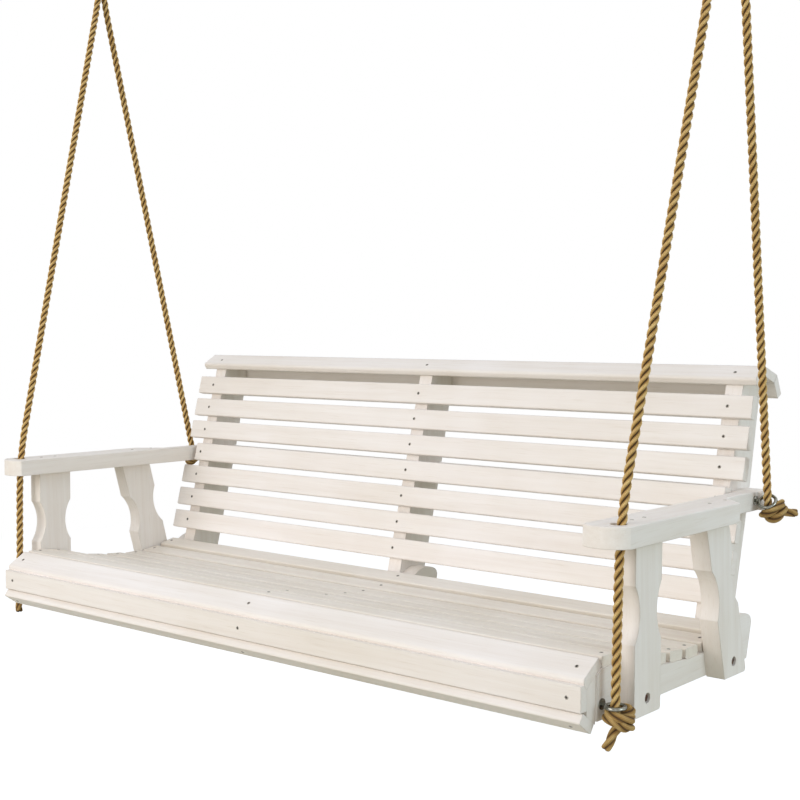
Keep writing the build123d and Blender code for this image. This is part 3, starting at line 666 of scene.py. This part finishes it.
def painted(name, stretch, tint, edge_tone):
    """White paint over wood grain that runs along one axis, with a tone of its own on the edges."""
    wood = new_finish(name)
    at = wood.object_place()
    along = wood.add("ShaderNodeMapping", {"Vector": at, "Scale": stretch}).outputs["Vector"]
    grain = wood.noise(along, scale=6.0, detail=7.0, Roughness=0.62)
    streak = wood.noise(along, scale=1.1, detail=3.0)
    cloud = wood.noise(at, scale=3.5, detail=3.0)
    coat = wood.ramp(streak, [(0.3, linear(238, 231, 225)), (0.7, linear(245, 240, 236))])
    lines = wood.ramp(grain, [
        (0.30, linear(234, 228, 219)), (0.42, linear(252, 250, 248)), (0.8, WHITE),
    ])
    coat = wood.mix(0.45, coat, lines, "MULTIPLY")
    dirt = wood.ramp(cloud, [(0.35, linear(243, 240, 233)), (0.65, WHITE)])
    coat = wood.mix(0.6, coat, dirt, "MULTIPLY")
    rounded = wood.add("ShaderNodeBevel", {"Radius": EDGE_R}, samples=4).outputs["Normal"]
    own = wood.add("ShaderNodeNewGeometry").outputs["Normal"]
    alike = wood.add("ShaderNodeVectorMath", {0: rounded, 1: own}, operation="DOT_PRODUCT")
    apart = wood.maths("SUBTRACT", 1.0, alike.outputs["Value"])
    edge = wood.maths("MULTIPLY", apart, EDGE_GAIN)
    # This edge mask is real edge wear on most boards, and a painted highlight on the seat slats.
    worn_and_lit_edges = wood.maths("MULTIPLY", edge, wood.maths("GREATER_THAN", grain, 0.50))
    wear_and_painted_light = wood.add("ShaderNodeClamp", {"Value": worn_and_lit_edges}).outputs["Result"]
    # The tint is white on most boards, and a painted shade on the seat slats' faces.
    coat = wood.mix(1.0, coat, tint, "MULTIPLY")
    wood.put(wood.shader, "Base Color", wood.mix(wear_and_painted_light, coat, edge_tone))
    rough = wood.ramp(grain, [(0.3, (0.62, 0.62, 0.62, 1)), (0.7, (0.46, 0.46, 0.46, 1))])
    wood.put(wood.shader, "Roughness", rough)
    wood.bump(grain, strength=0.35, distance=0.0006, Normal=rounded)
    return wood.owner


paints = {
    word: painted(f"white_paint_{word}", stretch, WHITE, RUBBED) for word, stretch in GRAIN.items()
}
paints["seat"] = painted("white_paint_seat", GRAIN["long"], SEAT_FACE_SHADE, SEAT_EDGE_HIGHLIGHT)
print("paints", list(paints))

# %% [markdown]
# ## Which board gets which paint
# A CAD piece keeps its mesh and only gets a material in its slots. Each could be named one by one, but
# the start of its name tells which way its grain runs: slats and long boards along X, rails and arms
# from front to back, posts and uprights up. Metal pieces get theirs in a cell of their own.

# %% Which board gets which paint
PAINT_OF = [
    (("seat_slat",), "seat"),
    (("seat_rail", "arm_left", "arm_right"), "deep"),
    (("arm_post", "back_upright", "nose_block"), "tall"),
    (("back_slat", "cap", "roll", "cross_rail"), "long"),
]


def dress(node_name, material):
    """Put one material in every slot of a CAD node."""
    node = nodes[node_name]
    if not node.material_slots:
        node.data.materials.append(material)
    for slot in node.material_slots:
        slot.material = material


painted_count = 0
for node_name in nodes:
    for starts, paint in PAINT_OF:
        if node_name.startswith(starts):
            dress(node_name, paints[paint])
            painted_count += 1
print("painted", painted_count)

# %% [markdown]
# ## End blocks
# Behind the rolled front, a block on each rail carries the three roll boards. The outer two end flush
# with the boards, but the CAD blocks stand in a little. New blocks could be drawn, but a stretched
# copy keeps every edge of the CAD one: its corners keep their place in the side view, and only their
# distance from the block's inner face grows.

# %% End blocks
BOARD_END_GAP = 0.0004


def flush_block(word, outward):
    """A copy of a CAD block whose outer face meets the roll boards' ends.

    A corner at distance d from the inner face goes to d (board end - inner) / (outer - inner).
    """
    block = nodes[f"nose_block_{word}"]
    inner, outer = sorted(corner[0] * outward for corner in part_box(block.name))
    board_end = max(corner[0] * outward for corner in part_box("roll_front_board")) - BOARD_END_GAP
    mesh = block.data.copy()
    corners = np.zeros(3 * len(mesh.vertices))
    mesh.vertices.foreach_get("co", corners)
    corners = corners.reshape(-1, 3)
    depth = (corners[:, 0] * outward - inner) * (board_end - inner) / (outer - inner)
    corners[:, 0] = (inner + depth) * outward
    mesh.vertices.foreach_set("co", corners.ravel())
    mesh.update()
    flush = bpy.data.objects.new(f"end_block_{word}", mesh)
    bpy.context.scene.collection.objects.link(flush)
    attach(flush, SWING)
    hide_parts(block.name)
    return flush, board_end


for word, outward in (("left", -1), ("right", 1)):
    end_block, reach = flush_block(word, outward)
    print(end_block.name, "reaches x =", round(reach * outward, 4))

# %% [markdown]
# ## Metals
# The rings, their nuts and the thimbles are bright zinc, the bolts in the posts are rusted, and the
# ceiling hooks are dark forged steel. One flat grey would look like plastic, so a noise drifts each
# metal's tone and polish together: its darker patches are also the rougher ones. The zinc's dark
# patches are a painted reflection of dark surroundings, since metal mirrors the plain white backdrop.
# The bolts' dark brown is partly their rust and partly painted shade in their counterbores.

# %% Metals


def metal(name, tones, polish, scale, metallic=1.0):
    """A metal whose tone and polish drift over its surface, from its dull to its bright patches."""
    made = new_finish(name)
    at = made.object_place()
    mottle = made.noise(at, scale, detail=5.0)
    dark, light = tones
    rough, smooth = ((value, value, value, 1) for value in polish)
    made.put(made.shader, "Base Color", made.ramp(mottle, [(0.3, dark), (0.7, light)]))
    made.put(made.shader, "Roughness", made.ramp(mottle, [(0.3, rough), (0.7, smooth)]))
    made.put(made.shader, "Metallic", metallic)
    made.bump(made.noise(at, 12 * scale, detail=2.0), strength=0.12, distance=0.0002)
    return made.owner


# Painted reflection: the zinc's dark tone stands in for dark surroundings mirrored in it.
zinc_and_reflection_tones = (linear(84, 82, 68), linear(168, 168, 160))
# Partly the bolts' rust, and partly painted shade in the counterbores round their heads.
rust_and_shade_tones = (linear(44, 26, 16), linear(96, 58, 36))
hook_tones = (linear(58, 54, 50), linear(98, 96, 94))
zinc = metal("bright_zinc", zinc_and_reflection_tones, polish=(0.30, 0.12), scale=110)
bolt_steel = metal("rusted_and_shaded_steel", rust_and_shade_tones, polish=(0.7, 0.5), scale=120, metallic=0.35)
hook_steel = metal("forged_steel", hook_tones, polish=(0.55, 0.35), scale=80)
METAL_OF = [
    (("eye_bolt", "thimble"), zinc),
    (("post_bolts", "back_bolts"), bolt_steel),
    (("ceiling",), hook_steel),
]
metal_nodes = []
for node_name in nodes:
    for starts, material in METAL_OF:
        if node_name.startswith(starts):
            dress(node_name, material)
            metal_nodes.append(node_name)
print("metal nodes", metal_nodes)

# %% [markdown]
# ## A screw head
# The boards are held by deck screws with a six-lobed drive. A head is turned from a profile, as on a
# lathe: each ring has a radius and a height in millimetres, and a share by which its radius swings.
# The recess could be cut with a Boolean modifier, but a clean grid bakes and exports better. So
# nothing is cut out: the inner rings' radius swings six times in a turn, which draws the lobes in the
# grid itself. The profile starts at the middle of the top, so its quads are taken the other way
# round, to face outwards.

# %% A screw head
SCREW_RINGS = [
    (0.0, 0.05, 0), (1.4, 0.05, 0.20), (1.9, 0.45, 0.20), (2.6, 0.6, 0), (3.2, 0.55, 0), (3.5, 0.3, 0),
    (3.6, -0.5, 0), (0.0, -0.5, 0),
]
SCREW_SEGMENTS = 24
RECESS_R = 2.0
OTHER_WAY_ROUND = (0, 3, 2, 1)


def screw_head():
    """A screw head as vertices, quads and a value that is 1 in the recess.

    Each ring of the profile has a radius r (1 + a cos 6 t), at angle t round the axis, and a height.
    """
    around = np.linspace(0, 2 * np.pi, SCREW_SEGMENTS, endpoint=False)
    radius, height, lobes = (np.array(column)[:, None] for column in zip(*SCREW_RINGS))
    reach = radius * (1 + lobes * np.cos(6 * around)) / 1000
    level = np.broadcast_to(height / 1000, reach.shape)
    shape = np.stack((reach * np.cos(around), reach * np.sin(around), level), axis=-1).reshape(-1, 3)
    quads = grid_quads(len(SCREW_RINGS), SCREW_SEGMENTS)[:, OTHER_WAY_ROUND]
    in_recess = (radius.ravel() < RECESS_R) & (height.ravel() > 0)
    return shape, quads, np.repeat(in_recess, SCREW_SEGMENTS)


head, head_quads, head_deep = screw_head()
print("screw head of", len(head_quads), "quads")

# %% [markdown]
# ## Where the screws sit
# Each board is screwed to the rails, uprights, blocks or posts behind it, in the middle of its width.
# The slats tilt, so a typed height would leave a head sunk or floating. A ray is cast on to the board
# from outside instead, and the screw is set where it lands, square to the face. Each row below gives
# a board, its screws' places along the bench in millimetres, and the way the board faces, in degrees
# up from straight back.

# %% Where the screws sit
RAYS_FROM = 0.3
RAIL_X, UPRIGHT_X, BLOCK_X, CENTRE_UPRIGHT_X = 747.5, 712.5, 736.0, -35.0
RAILS = (-RAIL_X, 0, RAIL_X)
UPRIGHTS = (-UPRIGHT_X, CENTRE_UPRIGHT_X, UPRIGHT_X)
BLOCKS = (-BLOCK_X, 0, BLOCK_X)
SCREW_ROWS = (
    [(f"seat_slat_{number}", RAILS, 90) for number in range(1, 9)]
    + [(f"back_slat_{number}", UPRIGHTS, 165) for number in range(1, 8)]
    + [("roll_top_board", BLOCKS, 122), ("roll_front_board", BLOCKS, 180)]
    + [("roll_bottom_board", BLOCKS, 235), ("cap_front_board", UPRIGHTS, 121)]
    + [("cap_top_board", UPRIGHTS, 72), ("cap_rear_board", UPRIGHTS, 29), ("cross_rail", UPRIGHTS, 0)]
)
POST_SHARES = (0.3, 0.7)


def on_face(node_name, spot, outward):
    """Where a ray towards a spot meets a CAD node, and the face's normal there."""
    node = nodes[node_name]
    to_local = node.matrix_world.inverted()
    start = Vector(spot) + RAYS_FROM * Vector(outward)
    hit, where, normal, _ = node.ray_cast(to_local @ start, to_local.to_3x3() @ -Vector(outward))
    if not hit:
        raise ValueError(f"no face of {node_name} at {spot}")
    return node.matrix_world @ where, (node.matrix_world.to_3x3() @ normal).normalized()


def middle_of(node_name, x_mm):
    """A node's middle, moved along the bench to x."""
    low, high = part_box(node_name)
    return (x_mm / 1000, (low[1] + high[1]) / 2, (low[2] + high[2]) / 2)


def bench_way(angle):
    """A direction in the bench's side view, in degrees up from straight back."""
    return bench_turn @ Vector((0, math.cos(math.radians(angle)), math.sin(math.radians(angle))))


board_spots = [
    on_face(name, middle_of(name, x), bench_way(angle))
    for name, places, angle in SCREW_ROWS for x in places
]
arm_spots = []
for side in ("left", "right"):
    for post in ("front", "rear"):
        low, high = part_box(f"arm_post_{post}_{side}")
        for share in POST_SHARES:
            spot = ((low[0] + high[0]) / 2, low[1] + share * (high[1] - low[1]), high[2])
            arm_spots.append(on_face(f"arm_{side}", spot, bench_way(90)))
print("screws in boards", len(board_spots), "and in arms", len(arm_spots))

# %% [markdown]
# ## All screws as one piece
# Over seventy objects would be slow to handle, so one head is turned and moved to every spot in
# one array product, and all of them are one mesh. The value `deep` marks the recesses for their
# painted shade, and is small where the screws are painted over, on the arms.

# %% All screws as one piece
PAINTED_OVER = 0.3

spots = board_spots + arm_spots
turns = np.array([Vector((0, 0, 1)).rotation_difference(normal).to_matrix() for _, normal in spots])
spot_places = np.array([where for where, _ in spots])
all_heads = np.einsum("nij,vj->nvi", turns, head) + spot_places[:, None, :]
all_quads = head_quads[None] + len(head) * np.arange(len(spots))[:, None, None]
screws = make_mesh("deck_screws", all_heads.reshape(-1, 3), all_quads.reshape(-1, 4))
bare = np.repeat((1.0, PAINTED_OVER), (len(board_spots), len(arm_spots)))
point_values(screws, "deep", np.outer(bare, head_deep))
close_poles(screws)
print("screws", len(spots), "with", len(screws.data.polygons), "faces")

# %% [markdown]
# ## Coated screw steel
# Deck screws have a dull grey coat against rust. It could be one grey, but a fine noise lets each head
# look a little different. The recess is darker by the value `deep`: a painted shade.

# %% Coated screw steel
coated = new_finish("coated_screw_steel")
deep = coated.add("ShaderNodeAttribute", attribute_name="deep", attribute_type="GEOMETRY")
coated_noise = coated.noise(coated.object_place(), scale=400.0, detail=3.0)
coated_tone = coated.ramp(coated_noise, [(0.35, linear(142, 136, 126)), (0.65, linear(196, 190, 180))])
# Painted shade: the recesses are mixed towards a dark grey by `deep`.
coated_colour = coated.mix(deep.outputs["Fac"], coated_tone, linear(48, 44, 40))
coated.put(coated.shader, "Base Color", coated_colour)
coated.put(coated.shader, "Metallic", 0.6)
coated.put(coated.shader, "Roughness", 0.5)
screws.data.materials.append(coated.owner)
print(coated.owner.name, "on", screws.name)

# %% [markdown]
# ## Sky
# The sky lights the bench softly from everywhere: cool and brighter from above, dim and a little
# olive from below, as over a lawn. A plain white sky would be simpler, but it lights the undersides
# as much as the tops and the boards lose their form. The camera, and metal that mirrors the sky,
# still see plain white of strength 1.

# %% Sky
SKY_BELOW, SKY_ABOVE = (0.25, 0.26, 0.22, 1), (0.80, 0.84, 0.90, 1)
SKY_STRENGTH = 0.80

studio = bpy.data.worlds.new("studio")
bpy.context.scene.world = studio
sky = Nodes(studio)
direction = sky.add("ShaderNodeTexCoord").outputs["Generated"]
up = sky.add("ShaderNodeSeparateXYZ", {"Vector": direction}).outputs["Z"]
sky_height = sky.maths("MULTIPLY_ADD", up, 0.5, 0.5)
sky.put(sky.shader, "Color", sky.ramp(sky_height, [(0.35, SKY_BELOW), (0.72, SKY_ABOVE)]))
sky.put(sky.shader, "Strength", SKY_STRENGTH)
plain = sky.add("ShaderNodeBackground", {"Color": WHITE, "Strength": 1.0})
chosen = {0: sky.backdrop_rays(), 1: sky.shader.outputs[0], 2: plain.outputs[0]}
sky_look = sky.add("ShaderNodeMixShader", chosen)
sky.put(sky.tree.nodes["World Output"], "Surface", sky_look.outputs[0])
print("sky from", SKY_BELOW[:3], "to", SKY_ABOVE[:3])

# %% [markdown]
# ## Lamps
# Three square lamps stand far from the bench. The key lamp is large and warm, well out in front and a
# little to the left, no higher than the ceiling, so that the slats' faces are brighter than their
# tops. A cool one on the right fills the arms' outer sides, and a weak one, high behind, keeps the
# cap's rear edge from going dark. Small lamps would be crisper, but their hard shadows would draw
# stripes through the slats. Each row gives a lamp's name, place, size in metres, power in watts and
# colour.

# %% Lamps
LAMPS = [
    ("key_light", (-0.8, -4.6, -0.1), 2.6, 118, (1.0, 0.955, 0.925)),
    ("side_light", (4.6, 0.0, -0.5), 2.0, 50, (0.76, 0.92, 1.0)),
    ("back_light", (0.5, 3.2, 1.6), 2.0, 20, (1.0, 1.0, 1.0)),
]
seat_middle = place((0, 250, 50))[0]
for name, spot, size, power, colour in LAMPS:
    lamp_data = bpy.data.lights.new(name, "AREA")
    lamp_data.shape = "SQUARE"
    lamp_data.size = size
    lamp_data.energy = power
    lamp_data.color = colour
    lamp = bpy.data.objects.new(name, lamp_data)
    bpy.context.scene.collection.objects.link(lamp)
    lamp.location = spot
    lamp.rotation_euler = (Vector(seat_middle) - Vector(spot)).to_track_quat("-Z", "Y").to_euler()
print("lamps", [lamp[0] for lamp in LAMPS])

# %% [markdown]
# ## Floor
# A wide floor lies under the bench and keeps its soft shadow. The scene could do without one, but then
# the bench would hang over nothing.

# %% Floor
FLOOR_DROP = 0.42
FLOOR_HALF = 30

floor_z = float(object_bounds()[0][2]) - FLOOR_DROP
floor_mesh = bpy.data.meshes.new("floor")
floor_corners = [(x * FLOOR_HALF, y * FLOOR_HALF, 0) for x, y in ((-1, -1), (1, -1), (1, 1), (-1, 1))]
floor_mesh.from_pydata(floor_corners, [], [(0, 1, 2, 3)])
floor = bpy.data.objects.new("floor", floor_mesh)
floor.location = (seat_middle[0], seat_middle[1], floor_z)
bpy.context.scene.collection.objects.link(floor)
print("floor at", round(floor_z, 3))

# %% [markdown]
# ## White backdrop
# The floor gives off a little light of its own, so that it is white between the shadows, and fades
# to plain white further out, so that no horizon shows. A floor of plain white light would be
# simpler, but it would hold no shadow. The rays that carry light from surface to surface meet a plain
# olive-grey floor instead: a white one would light the bench from below far more than a lawn or a
# porch does. The Standard view transform shows the colours as they are.

# %% White backdrop
FLOOR_GLOW = 0.42
FADE_FROM, FADE_TO = 1.4, 4.0

pale = new_finish("pale_floor")
floor_place = pale.object_place()
floor_noise = pale.noise(floor_place, scale=2.0, detail=2.0)
floor_tone = pale.ramp(floor_noise, [(0.3, (0.88, 0.88, 0.87, 1)), (0.7, (0.90, 0.90, 0.90, 1))])
pale.put(pale.shader, "Base Color", floor_tone)
pale.put(pale.shader, "Roughness", 0.9)
pale.put(pale.shader, "Specular IOR Level", 0.0)
pale.put(pale.shader, "Emission Color", WHITE)
pale.put(pale.shader, "Emission Strength", FLOOR_GLOW)
white = pale.add("ShaderNodeEmission", {"Color": WHITE, "Strength": 1.0})
away = pale.add("ShaderNodeVectorMath", {0: floor_place}, operation="LENGTH").outputs["Value"]
fade = pale.add("ShaderNodeMapRange", {"Value": away, "From Min": FADE_FROM, "From Max": FADE_TO})
faded_ends = {0: fade.outputs["Result"], 1: pale.shader.outputs[0], 2: white.outputs[0]}
faded = pale.add("ShaderNodeMixShader", faded_ends)
bounce = pale.add("ShaderNodeBsdfDiffuse", {"Color": linear(160, 156, 132)})
floor_choice = {0: pale.backdrop_rays(), 1: bounce.outputs[0], 2: faded.outputs[0]}
floor_look = pale.add("ShaderNodeMixShader", floor_choice)
pale.put(pale.tree.nodes["Material Output"], "Surface", floor_look.outputs[0])
floor_mesh.materials.append(pale.owner)
bpy.context.scene.view_settings.view_transform = "Standard"
print("floor fades to white from", FADE_FROM, "to", FADE_TO, "m")
